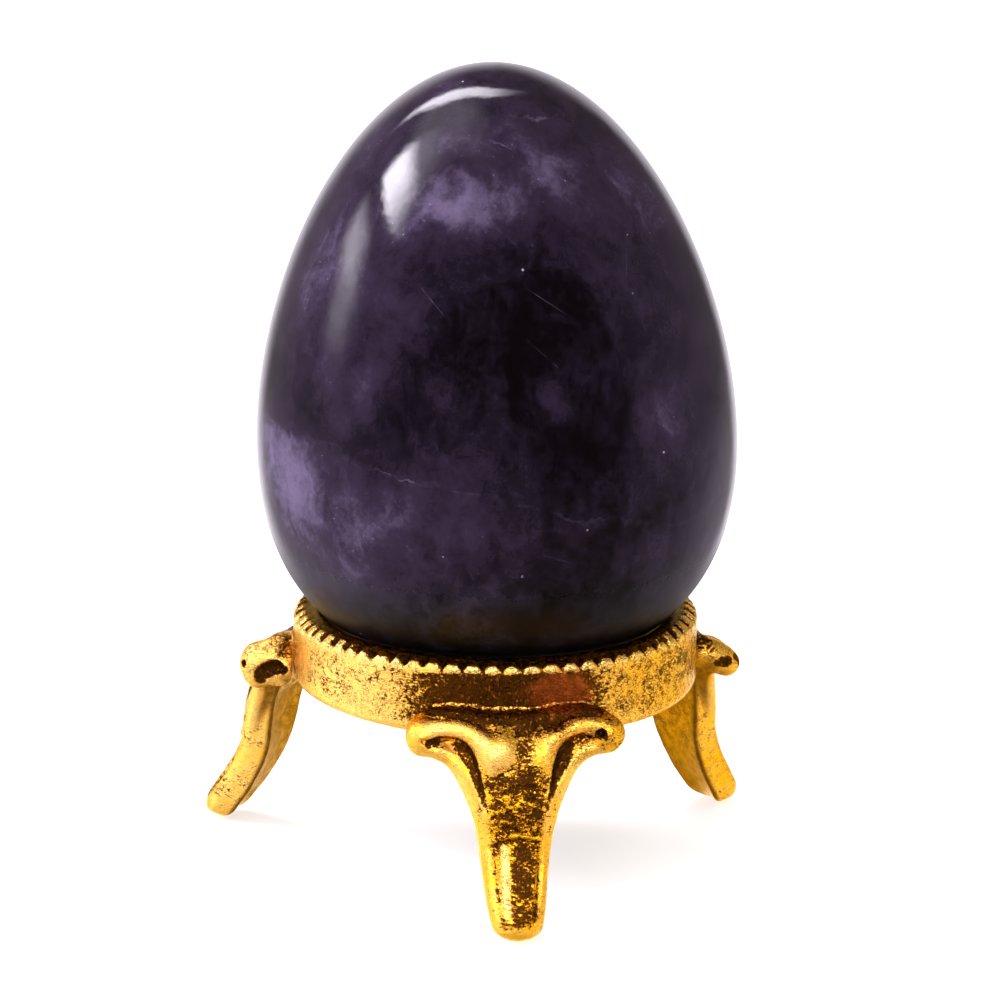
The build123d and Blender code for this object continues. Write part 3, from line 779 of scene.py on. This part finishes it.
def sculpt_leg(h, which):
    bright, dark = [], []
    S = SHIN[::-1]
    f = Field((-9.6, 14.0, -0.5), (9.6, 25.3, 18.1), h)
    V, U, Z = f.grids()
    zz = f.ax[2]
    col = [hermite(S[:, 0], S[:, j], zz) for j in (1, 2, 3)]
    ub, uf, w = [c.reshape(1, 1, -1).astype(np.float32) for c in col]
    nb = np.sqrt(1 + np.gradient(col[0], zz)**2).reshape(1, 1, -1).astype(np.float32)
    nf = np.sqrt(1 + np.gradient(col[1], zz)**2).reshape(1, 1, -1).astype(np.float32)
    x = np.clip(V / w, -1.3, 1.3)
    fade_hi = sstep(13.2, 11.0, Z)
    crown = 0.55 - 0.12 * fade_hi
    front = (U - (uf - crown * x * x)) / nf
    back = ((ub + 0.42 * np.clip(1 - x * x, 0, 1) * sstep(14.5, 11.5, Z)) - U) / nb
    side = np.abs(V) - w - 0.10 * sstep(0, 3, Z) * (0.5 - (U - ub) / (uf - ub))
    body = smax(front, side, 1.35)
    body = smax(body, back, 0.40)
    body = smax(body, -Z - 0.12 + 0 * V, 1.20)
    body = smax(body, Z - 16.92 + 0.30 * np.maximum(U - 16.6, 0) + 0.05 * V * V * 0.2, 0.6)
    f.F = body.astype(np.float32) + np.zeros(f.n, np.float32)

    def ring_u(v, r):
        return math.sqrt(max(r * r - v * v, 1.0))

    for s in (-1, 1):
        # web behind the scrolls, from the band outwards
        web = through([(s * 0.5, 16.9, 15.9, 1.15), (s * 2.5, 16.9, 15.95, 1.15), (s * 4.6, 16.7, 15.85, 1.05), (s * 6.2, 16.75, 15.5, 0.95), (s * 7.3, 17.2, 15.35, 0.9)])
        f.add(f.chain(web), 0.7)
        web = through([(s * 1.5, 17.2, 14.6, 1.3), (s * 3.6, 17.2, 14.7, 1.25), (s * 5.2, 16.9, 14.95, 1.05), (s * 6.6, 16.95, 15.1, 0.95)])
        f.add(f.chain(web), 0.7)
        # the space behind the wing is filled up to the band
        web = through([(s * 3.6, 16.4, 16.20, 1.05), (s * 5.4, 16.05, 16.32, 1.02), (s * 6.7, 16.15, 16.22, 0.98), (s * 7.5, 16.7, 15.95, 0.85)])
        f.add(f.chain(web), 0.8)
        # bulb at the wing's end: no two castings are alike
        lift = 0.0
        if which == "left" and s > 0:
            lift = 0.30
            f.add(f.ellipsoid((7.20, 17.66, 15.84), (1.62, 1.66, 1.86)), 0.5)
            f.add(f.chain(through([(3.8, 16.6, 16.45, 1.20), (5.2, 16.5, 16.72, 1.34), (6.4, 16.3, 16.50, 1.50), (7.1, 15.8, 15.74, 1.50)])), 0.8)
        elif which == "right" and s < 0:
            lift = -0.15
            f.add(f.chain(through([(-6.9, 15.9, 15.75, 1.12), (-7.3, 17.1, 15.42, 1.24), (-7.42, 18.15, 14.78, 1.12)])), 0.5)
        else:
            f.add(f.ellipsoid((s * 7.25 + (0.3 if s > 0 else 0.0), 17.60, 15.40), (1.40, 1.46, 1.44)), 0.45)
        # lower roll: from the bulb down into the shin's edge
        low = through([(s * 7.45, 17.9, 14.75, 0.80), (s * 6.3, 18.05, 14.42, 0.74), (s * 5.1, 18.15, 13.80, 0.74), (s * 4.15, 18.55, 12.75, 0.78),
                       (s * 3.52, 19.05, 11.55, 0.76), (s * 2.95, 19.6, 10.0, 0.62), (s * 2.45, 20.1, 8.3, 0.42), (s * 2.1, 20.4, 7.0, 0.25)])
        f.add(f.chain(low), 0.45)
        # painted highlight along the lower roll
        bright.append((low, 0.30))
        # upper roll: from the bulb over the pocket and down beside the brow
        if s < 0:
            drop = {"front": 0.0, "left": 0.95, "right": 0.60}[which]
            up = through([(-7.5, 17.90, 15.70 + lift - 0.4 * drop, 0.76), (-6.3, 18.20, 16.10 + lift - 0.8 * drop, 0.80), (-4.7, 18.38, 16.12 - drop, 0.84), (-3.4, 18.70, 15.72 - drop, 0.86),
                          (-2.5, 19.10, 14.95 - 0.9 * drop, 0.88 - 0.1 * drop), (-2.0, 19.45, 14.1 - 0.5 * drop, 0.84 - 0.15 * drop), (-1.8, 19.75, 13.2, 0.60)])
        else:
            up = through([(7.5, 17.90, 15.75 + lift, 0.74), (6.4, 18.12, 16.22 + lift, 0.70), (5.0, 18.20, 16.18 + 0.5 * lift, 0.70), (3.7, 18.48, 15.80, 0.72),
                          (2.75, 18.92, 15.0, 0.74), (2.35, 19.30, 13.9, 0.70), (2.2, 19.6, 12.9, 0.55)])
        f.add(f.chain(up), 0.42)
        # the left upper roll gets a stronger painted highlight than the right
        bright.append((up, 0.45 if s < 0 else 0.25))
    # brow: two lobes over the shin, the left one fuller
    f.add(f.ellipsoid((-1.15, 18.15, 14.35), (1.65, 2.15, 1.75)), 0.75)
    f.add(f.ellipsoid((1.55, 18.05, 13.95), (1.40, 1.95, 1.75)), 0.75)
    # pockets between the rolls
    pl = through([(-6.75, 18.95, 15.15, 0.30), (-5.8, 18.95, 15.22, 0.46), (-4.7, 18.95, 15.0, 0.56), (-3.9, 19.25, 14.25, 0.50), (-3.35, 19.80, 13.1, 0.32), (-2.98, 20.45, 11.9, 0.20), (-2.62, 20.95, 10.6, 0.12)])
    f.cut(f.chain(pl), 0.40)
    dark.append((pl, 0.95))
    pr = through([(5.45, 18.75, 15.42, 0.26), (4.75, 18.95, 15.0, 0.46), (4.05, 19.2, 14.2, 0.56), (3.45, 19.7, 13.0, 0.42), (3.15, 20.25, 12.1, 0.26), (2.80, 20.80, 10.9, 0.14), (2.5, 21.1, 9.9, 0.10)])
    f.cut(f.chain(pr), 0.40)
    dark.append((pr, 0.85))
    # eye of the right scroll
    eye = np.array([(6.95, 19.7, 15.80, 0.36), (6.85, 18.62, 15.75, 0.32)])
    f.cut(f.chain(eye), 0.22)
    dark.append((eye, 1.0))
    if which == "left":
        # blow-holes in the end of the near wing
        hole = through([(8.75, 17.05, 14.55, 0.34), (8.80, 16.95, 15.35, 0.50), (8.62, 16.40, 15.95, 0.55), (8.40, 15.80, 16.10, 0.46), (8.15, 15.25, 15.90, 0.28)])
        f.cut(f.chain(hole), 0.30)
        dark.append((hole, 1.1))
        hole = np.array([(8.75, 18.65, 16.15, 0.22), (8.20, 18.45, 16.10, 0.16)])
        f.cut(f.chain(hole), 0.15)
        dark.append((hole, 1.0))
    if which == "right":
        hole = through([(-8.72, 16.35, 15.25, 0.30), (-8.80, 16.85, 15.30, 0.40), (-8.74, 17.40, 15.30, 0.36)])
        f.cut(f.chain(hole), 0.25)
        dark.append((hole, 1.1))
        hole = through([(-8.35, 18.35, 15.55, 0.14), (-8.35, 18.70, 15.25, 0.16), (-8.30, 18.85, 14.85, 0.12)])
        f.cut(f.chain(hole), 0.15)
        dark.append((hole, 0.9))
    f.cut(f.chain(np.array([(-7.55, 19.3, 15.35, 0.20), (-7.25, 18.85, 15.35, 0.18)])), 0.25)
    # dished ledges over the brow
    f.cut(f.ellipsoid((2.7, 19.0, 17.10), (2.0, 1.35, 0.95)), 0.40)
    f.cut(f.ellipsoid((-0.7, 19.25, 17.25), (1.5, 1.15, 0.95)), 0.45)
    # crease down the middle of the brow
    cr = through([(0.25, 20.55, 14.9, 0.16), (0.30, 20.75, 13.6, 0.30), (0.30, 21.15, 12.2, 0.34), (0.28, 21.40, 11.0, 0.26), (0.2, 21.60, 10.2, 0.12)])
    f.cut(f.chain(cr), 0.35)
    dark.append((cr, 0.55))
    # grooves beside the tongue on the shin's front
    for s in (-1, 1):
        gr = through([(s * 2.30, 21.25, 9.0, 0.08), (s * 2.02, 21.52, 7.4, 0.14), (s * 1.82, 22.05, 5.4, 0.15), (s * 1.62, 23.15, 3.7, 0.15), (s * 1.35, 24.33, 2.2, 0.14), (s * 0.75, 24.92, 1.25, 0.11), (0, 25.02, 1.0, 0.10)])
        f.cut(f.chain(gr, 0.6), 0.42)
    # line across the top of the tongue
    arc = through([(-2.0, 20.98, 7.55, 0.13), (-1.3, 21.29, 7.92, 0.16), (-0.3, 21.42, 8.18, 0.16), (0.8, 21.40, 8.13, 0.16), (1.8, 21.16, 7.85, 0.12)])
    f.add(f.chain(arc, 0.5), 0.30)
    arc2 = arc.copy()
    arc2[:, 2] -= 0.42
    arc2[:, 1] += 0.32
    arc2[:, 3] = 0.18
    f.cut(f.chain(arc2, 0.5), 0.25)
    # wrinkles above it
    rng = np.random.default_rng(8)
    for i, z in enumerate(np.arange(8.6, 12.2, 0.19)):
        z = z + 0.07 * rng.normal()
        mid, half, sag = rng.uniform(-1.1, 1.3), rng.uniform(0.5, 1.3), rng.normal() * 0.12
        pts = []
        for x in np.linspace(max(mid - half, -2.2), min(mid + half, 2.3), 6):
            u = hermite(S[:, 0], S[:, 2], np.array([z]))[0] - 0.43 * (x / 3.2)**2
            pts.append((x, u + 0.135 + 0.02 * rng.normal(), z + sag * x - 0.04 * x * x + 0.05 * rng.normal(), 0.15 + 0.05 * rng.random()))
        f.cut(f.chain(through(pts, 4), 0.5), 0.2)
    # the casting's seat against the band
    rad = np.sqrt(V * V + U * U)
    f.F = smax(f.F, (BAND_R + 0.06) - rad + 0 * Z, 0.12).astype(np.float32)
    P, faces = f.mesh()
    P, faces = keep_largest(P, faces)
    # recessed panels that hold tarnish: the shin's front between its rails, and the tongue
    N = vertex_normals(P, faces)
    if signed_volume(P, faces) < 0:
        N = -N
    wz = hermite(S[:, 0], S[:, 3], P[:, 2])
    panel = sstep(0.78, 0.50, np.abs(P[:, 0]) / wz) * sstep(0.45, 0.8, N[:, 1]) * sstep(14.2, 12.0, P[:, 2]) * sstep(1.0, 1.9, P[:, 2])
    # tops near the band stay dark; rolls and the left brow are painted paler and cleaner, a painted highlight together
    # with rubbing; hollows are darkened, grime together with painted shade
    if which != "front":
        panel = panel * sstep(0.66, 0.34, np.abs(P[:, 0]) / wz)
    soil_and_painted_light = 0.60 * panel
    far = np.hypot(P[:, 0], P[:, 1])
    soil_and_painted_light = soil_and_painted_light + ((1.05 if which == "front" else 0.72) - (0.50 * sstep(1.0, 3.5, P[:, 0]) if which == "left" else 0.0)) * sstep(0.30, 0.70, N[:, 2]) * sstep(15.4, 16.2, P[:, 2]) * sstep(18.6, 17.7, far)
    ubz = hermite(S[:, 0], S[:, 1], P[:, 2])
    # painted shade: a dark line along the back edges
    groove_shade = np.exp(-((P[:, 1] - ubz - 0.22) / 0.26)**2) * sstep(0.78, 0.94, np.abs(P[:, 0]) / wz) * sstep(15.0, 13.5, P[:, 2])
    soil_and_painted_light = soil_and_painted_light + 0.12 * groove_shade
    rub_and_highlight = np.zeros(len(P))
    for pts, k in bright:
        rub_and_highlight = np.maximum(rub_and_highlight, k * sstep(0.20, 0.02, chain_gap(P, pts)))
    brow = np.linalg.norm((P - np.array((-1.25, 19.6, 14.5))) / np.array((1.15, 1.6, 1.05)), axis=1)
    rub_and_highlight = np.maximum(rub_and_highlight, 0.5 * sstep(1.25, 0.7, brow))
    soil_and_painted_light = soil_and_painted_light - rub_and_highlight
    # darker down beside the crease between the brow lobes, and over the shelf behind the rolls
    face = sstep(-0.1, 0.4, N[:, 1])
    soil_and_painted_light = soil_and_painted_light + 0.60 * np.exp(-((P[:, 0] - 0.85) / 0.80)**2) * sstep(11.2, 12.6, P[:, 2]) * sstep(16.9, 16.3, P[:, 2]) * face
    soil_and_painted_light = soil_and_painted_light + 0.40 * sstep(4.6, 3.6, np.abs(P[:, 0])) * sstep(15.5, 15.9, P[:, 2]) * sstep(19.6, 19.0, P[:, 1]) * sstep(0.02, 0.12, chain_gap(P, bright[1][0]))
    # painted highlight down the tongue's left side, which is also rubbed paler; darker just right of its middle
    tongue = sstep(8.0, 7.0, P[:, 2]) * face
    soil_and_painted_light = soil_and_painted_light - 0.75 * tongue * np.exp(-((P[:, 0] + 0.95) / 0.42)**2) * sstep(1.6, 2.6, P[:, 2]) + 0.28 * tongue * np.exp(-((P[:, 0] - 0.55) / 0.75)**2) * sstep(1.4, 2.0, P[:, 2])
    # pockets, scroll eye, blow-holes and crease painted dark: grime together with painted shade
    for pts, k in dark:
        soil_and_painted_light = soil_and_painted_light + k * sstep(0.26, 0.06, chain_gap(P, pts))
    # the seam: a fillet run into the corner between casting and band, above the wings
    band = rad - BAND_R + 0 * Z
    seam = smin(f.F + 0.035, band + 0.035, 0.46)
    seam = np.maximum(seam, -(f.F + 0.30))
    seam = np.maximum(seam, -(band + 0.25))
    seam = np.maximum(seam, 15.7 - Z + 0 * V)
    seam = np.maximum(seam, np.abs(V) - 6.3)
    f.F = seam.astype(np.float32)
    # painted shade: the backs of the legs, turned in under the ring
    back_shade = sstep(-0.05, -0.55, N[:, 1]) * sstep(16.6, 14.6, P[:, 2])
    # the left leg, on the lit side, is painted paler and the right leg deeper: painted light; rubbed rolls and brow
    # paler as painted highlight; panels deeper
    worn_and_painted_light = {"front": 0.26, "left": 0.50, "right": 0.10}[which] + 0.60 * rub_and_highlight - 0.30 * panel
    # painted highlight down the tongue's left side, in the gold tone
    worn_and_painted_light = worn_and_painted_light + 0.75 * tongue * np.exp(-((P[:, 0] + 0.95) / 0.42)**2) * sstep(1.6, 2.6, P[:, 2])
    crinkle = 0.35 + 0.30 * panel
    soil_and_painted_light = soil_and_painted_light + {"front": 0.10, "left": 0.10, "right": 0.0}[which] * sstep(0.3, 0.7, np.abs(N[:, 0])) * sstep(13.5, 12.0, P[:, 2])
    # knobs near the band are mottled; their paler gold is partly a painted highlight
    if which == "left":
        knob = sstep(3.0, 5.0, P[:, 0]) * sstep(13.0, 14.5, P[:, 2])
        soil_and_painted_light, crinkle = soil_and_painted_light + 0.26 * knob * sstep(18.9, 16.8, far) + 0.02 * knob, crinkle + 0.8 * knob
        worn_and_painted_light = worn_and_painted_light + 0.25 * knob
    elif which == "right":
        knob = sstep(-3.0, -5.0, P[:, 0]) * sstep(13.0, 14.5, P[:, 2])
        soil_and_painted_light, crinkle = soil_and_painted_light + 0.16 * knob, crinkle + 0.6 * knob
        worn_and_painted_light = worn_and_painted_light + 0.2 * knob
    else:
        knob = sstep(2.2, 3.4, P[:, 0]) * sstep(12.6, 13.6, P[:, 2])
        soil_and_painted_light, crinkle = soil_and_painted_light + 0.46 * knob, crinkle + 0.5 * knob
    attrs = {"tarnish_and_painted_light": np.clip(soil_and_painted_light, -0.5, 1.1), "back_shade": back_shade, "worn_and_painted_light": worn_and_painted_light, "crinkle": crinkle, "groove_shade": groove_shade}
    return P, faces, attrs, keep_largest(*f.mesh())


def make_legs():
    h = 0.10
    seams = {}
    for n, (side, (az, splay)) in enumerate(LEGS.items()):
        P, faces, attrs, seams[side] = sculpt_leg(h, side)
        N0 = vertex_normals(P, faces)
        if signed_volume(P, faces) < 0:
            N0 = -N0
        # each casting came out a little different
        lump = 0.045 * fbm(P * 0.55 + 31 * n, 40 + n, 3) + 0.016 * fbm(P * 2.1 + 7 * n, 60 + n, 2)
        foot = sstep(0.0, 0.5, P[:, 2])
        P = P + N0 * (lump * foot)[:, None]
        P[:, 1] += splay * np.maximum(0.0, 1 - P[:, 2] / 9.0)
        a = math.radians(az)
        W = np.stack([P[:, 0] * math.cos(a) + P[:, 1] * math.sin(a), P[:, 0] * math.sin(a) - P[:, 1] * math.cos(a), P[:, 2]], 1)
        if signed_volume(W, faces) < 0:
            faces = [f[::-1] for f in faces]
        N = vertex_normals(W, faces)
        h1, h2 = hollows(W, N, faces, (3, 16))
        new_piece(f"{side}_leg_cast", W, faces, f"{side}_leg", "stand", MAT_GILT, {"hollow": h1, "hollow_wide_and_seat_shade": h2, **attrs})
    return seams


# ---------------------------------------------------------------------------
# braze seams
# ---------------------------------------------------------------------------
def make_brazes(seams):
    for n, (side, (az, splay)) in enumerate(LEGS.items()):
        a = math.radians(az)
        P, faces = seams[side]
        W = np.stack([P[:, 0] * math.cos(a) + P[:, 1] * math.sin(a), P[:, 0] * math.sin(a) - P[:, 1] * math.cos(a), P[:, 2]], 1)
        if signed_volume(W, faces) < 0:
            faces = [q[::-1] for q in faces]
        N = vertex_normals(W, faces)
        W = W + N * (0.03 * fbm(W * 1.1, 120 + n, 3))[:, None]
        N = vertex_normals(W, faces)
        h1, h2 = hollows(W, N, faces, (2, 8))
        new_piece(f"{side}_leg_seam", W, faces, f"{side}_leg_braze", "stand", MAT_BRAZE, {"hollow": h1, "hollow_wide_and_seat_shade": h2, "tarnish_and_painted_light": 0 * h1 + 0.34, "worn_and_painted_light": 0 * h1 + 0.45, "crinkle": 0 * h1 + 0.4})


make_egg()
make_band()
make_brazes(make_legs())

# ---------------------------------------------------------------------------
# floor, light, camera
# ---------------------------------------------------------------------------
def plain(name, color, rough):
    m = bpy.data.materials.new(name)
    N = Nodes(m)
    co = N.new("ShaderNodeTexCoord").outputs["Object"]
    n = N.noise(co, 60.0, 3, 0.5).outputs[0]
    c = N.mix(N.range(n, 0.3, 0.7, 0.0, 0.04), color, tuple(x * 0.93 for x in color))
    N.finish(Base_Color=c, Roughness=rough)
    return m


fl = bpy.data.meshes.new("floor")
fl.from_pydata([(-3, -3, 0), (3, -3, 0), (3, 3, 0), (-3, 3, 0)], [], [(0, 1, 2, 3)])
floor = bpy.data.objects.new("floor", fl)
bpy.context.scene.collection.objects.link(floor)
floor.data.materials.append(plain("pale_floor", (0.90, 0.90, 0.90), 0.6))
floor.visible_glossy = False
floor.visible_shadow = False

TURN = Matrix.Rotation(math.radians(-5.47), 4, "Z")      # the photo looks from a little left of the front leg


def direction(az, el):
    """A unit vector towards a light: azimuth from the camera's side, + to the right."""
    a, e = math.radians(az), math.radians(el)
    return TURN.to_3x3() @ Vector((math.sin(a) * math.cos(e), -math.cos(a) * math.cos(e), math.sin(e)))


def area(name, az, el, dist, size, power, aim=(0, 0, 0.035), color=(1, 1, 1)):
    L = bpy.data.lights.new(name, "AREA")
    L.shape = "RECTANGLE"
    L.size, L.size_y = size
    L.energy = power
    L.color = color
    o = bpy.data.objects.new(name, L)
    d = direction(az, el)
    o.location = Vector(aim) + d * dist
    o.rotation_euler = d.to_track_quat("Z", "Y").to_euler()
    bpy.context.scene.collection.objects.link(o)
    return o


world = bpy.data.worlds.new("studio")
bpy.context.scene.world = world
world.use_nodes = True
W = Nodes.__new__(Nodes)
W.t, W.x = world.node_tree, 0
W.t.nodes.clear()
toward = W.new("ShaderNodeTexCoord").outputs["Generated"]
front_v, right_v = direction(0, 0), TURN.to_3x3() @ Vector((1, 0, 0))
f_ = W.vec("DOT_PRODUCT", toward, tuple(front_v))
r_ = W.vec("DOT_PRODUCT", toward, tuple(right_v))
z_ = W.vec("DOT_PRODUCT", toward, (0, 0, 1))
DEG = 180 / math.pi
az = W.math("MULTIPLY", W.math("ARCTAN2", r_, f_), DEG)                  # 0 in front, + to the right
azb = W.math("MULTIPLY", W.math("ARCTAN2", W.math("MULTIPLY", r_, -1.0), W.math("MULTIPLY", f_, -1.0)), DEG)   # 0 behind, + to the left
el = W.math("MULTIPLY", W.math("ARCSINE", z_), DEG)


def window(x, a0, a1, b0, b1):
    return W.math("MULTIPLY", W.range(x, a0, a1), W.range(x, b0, b1, 1.0, 0.0))


def lamp(total, power, *parts):
    p = parts[0]
    for q in parts[1:]:
        p = W.math("MULTIPLY", p, q)
    p = W.math("MULTIPLY", p, power)
    return p if total is None else W.math("ADD", total, p)


absaz = W.math("ABSOLUTE", az)
low = W.range(el, -2.0, 10.0, 1.0, 0.0)
# open white studio behind and at the sides, dark room round the camera
light = lamp(None, 0.12, W.range(absaz, 48, 100), W.range(el, -2, 14, 1.0, 0.6))
right_back = W.range(az, 149, 162)
left_back = W.range(az, -164, -144, 1.0, 0.0)
light = lamp(light, 0.80, W.math("ADD", right_back, left_back), W.range(el, 8, 34, 1.0, 0.0), W.range(el, -50, -25, 0.5, 1.0))
light = lamp(light, 0.28, W.range(az, 98, 136), window(el, -58, -40, -16, -6))
light = lamp(light, 0.11, W.range(az, -130, -112, 1.0, 0.0), window(el, -40, -12, 18, 34))
light = lamp(light, 0.45, W.range(az, -150, -130, 1.0, 0.0), window(el, -46, -34, -20, -8))
dim = lamp(None, 0.042, W.range(absaz, 40, 150, 1.0, 1.4))
dim = lamp(dim, 0.035, W.range(absaz, 50, 110, 1.0, 0.0), window(el, -80, -60, -26, -12))
light = lamp(light, 0.95, window(az, -165, -130, -102, -50), window(el, 38, 50, 66, 84))
light = lamp(light, 0.38, window(az, -165, -120, -50, 10), window(el, 62, 74, 84, 90))
light = lamp(light, 0.30, window(az, -150, -125, -106, -86), window(el, -75, -58, -34, -18))
# large soft box on the left, hard on its far side
light = lamp(light, 19.0, window(az, -113, -104, -96, -66), window(el, 30.5, 33.5, 40, 50))
light = lamp(light, 1.3, window(az, -118, -100, -90, -60), window(el, 36, 44, 50, 62))
# small lamp under it, with its tail
light = lamp(light, 4.6, window(az, -115, -103, -98, -84), window(el, 11, 19.5, 20.5, 28))
light = lamp(light, 2.0, window(az, -106, -95, -92, -78), window(el, 2, 11, 14, 22))
# overhead arc behind
sq = W.math("MULTIPLY", azb, azb)
mid = W.math("SUBTRACT", 64.0, W.math("MULTIPLY", sq, 0.0119))
half = W.math("ADD", 5.0, W.math("MULTIPLY", W.math("MAXIMUM", azb, 0.0), 0.17))
off = W.math("DIVIDE", W.math("ABSOLUTE", W.math("SUBTRACT", el, mid)), half)
light = lamp(light, 10.5, W.range(off, 0.45, 1.15, 1.0, 0.0), window(azb, -30, 22, 40, 47))

# white cards round the stand, which the stone does not see, and a soft overhead fill
stand_only = bpy.data.collections.new("stand_pieces")
for ob in bpy.context.scene.objects:
    if ob.type == "MESH" and ob.name.endswith(("_cast", "_seam")):
        stand_only.objects.link(ob)
cards = [
    area("card_left", -95, -4, 0.35, (0.70, 0.60), 1.42, color=(0.98, 1.0, 1.15)),
    area("card_right", 92, -6, 0.35, (0.72, 0.60), 1.06, color=(1.0, 0.97, 0.85)),
    area("card_key", -50, 38, 0.35, (0.34, 0.28), 0.45),
    area("card_over", -15, 76, 0.35, (0.40, 0.20), 0.30),
    area("card_front_left", -33, 20, 0.35, (0.24, 0.50), 0.56),
    area("card_front", 18, 20, 0.35, (0.42, 0.50), 0.40),
    area("card_spot", 8, 30, 0.34, (0.40, 0.27), 1.45, color=(0.97, 1.0, 1.15)),
    area("card_under", 0, -90, 0.115, (0.90, 0.90), 1.9),
]
for card in cards:
    card.light_linking.receiver_collection = stand_only
    card.visible_camera = False
# soft fills for the floor and the stone's depth, kept out of the reflections
for fill in (area("fill_top", -20, 80, 1.1, (1.5, 1.5), 9.0), area("fill_front", -12, 34, 0.8, (0.6, 0.6), 1.3)):
    fill.visible_glossy = False
    fill.visible_camera = False

# an even wash over the floor alone, which keeps its shadows pale
sun = bpy.data.lights.new("fill_floor", "SUN")
sun.energy = 2.5
sun.use_shadow = False
sun_ob = bpy.data.objects.new("fill_floor", sun)
bpy.context.scene.collection.objects.link(sun_ob)
floor_only = bpy.data.collections.new("floor_pieces")
floor_only.objects.link(floor)
sun_ob.light_linking.receiver_collection = floor_only

bg = W.new("ShaderNodeBackground")
W.put(bg.inputs["Color"], (1.0, 0.94, 1.05, 1))
W.put(bg.inputs["Strength"], light)
room = W.new("ShaderNodeBackground")
W.put(room.inputs["Color"], (1.0, 0.66, 0.42, 1))
W.put(room.inputs["Strength"], dim)
both = W.new("ShaderNodeAddShader")
W.t.links.new(bg.outputs[0], both.inputs[0])
W.t.links.new(room.outputs[0], both.inputs[1])
pale = W.new("ShaderNodeBackground")
W.put(pale.inputs["Color"], (0.96, 0.96, 0.96, 1))
W.put(pale.inputs["Strength"], 1.0)
sw = W.new("ShaderNodeMixShader")
W.t.links.new(W.new("ShaderNodeLightPath").outputs["Is Camera Ray"], sw.inputs[0])
W.t.links.new(both.outputs[0], sw.inputs[1])
W.t.links.new(pale.outputs[0], sw.inputs[2])
wo = W.new("ShaderNodeOutputWorld")
W.t.links.new(sw.outputs[0], wo.inputs[0])

# camera, worked out from the photo's outlines
PITCH, ROLL, DIST = math.radians(16.388), math.radians(0.781), 0.700
F = Vector((0, math.cos(PITCH), -math.sin(PITCH)))
U0 = Vector((0, math.sin(PITCH), math.cos(PITCH)))
R0 = Vector((1, 0, 0))
Rr = R0 * math.cos(ROLL) + U0 * math.sin(ROLL)
Uu = U0 * math.cos(ROLL) - R0 * math.sin(ROLL)
C = Vector((0.343 * MM, 0, 29.726 * MM)) - F * DIST
cam = bpy.data.cameras.new("camera")
cam.sensor_width = 36.0
cam.lens = 8627.3 / 1000 * 36.0
cam.clip_start, cam.clip_end = 0.05, 20.0
co_ = bpy.data.objects.new("camera", cam)
M = Matrix(((Rr.x, Uu.x, -F.x, C.x), (Rr.y, Uu.y, -F.y, C.y), (Rr.z, Uu.z, -F.z, C.z), (0, 0, 0, 1)))
co_.matrix_world = TURN @ M
bpy.context.scene.collection.objects.link(co_)
bpy.context.scene.camera = co_
bpy.context.scene.view_settings.view_transform = "Standard"
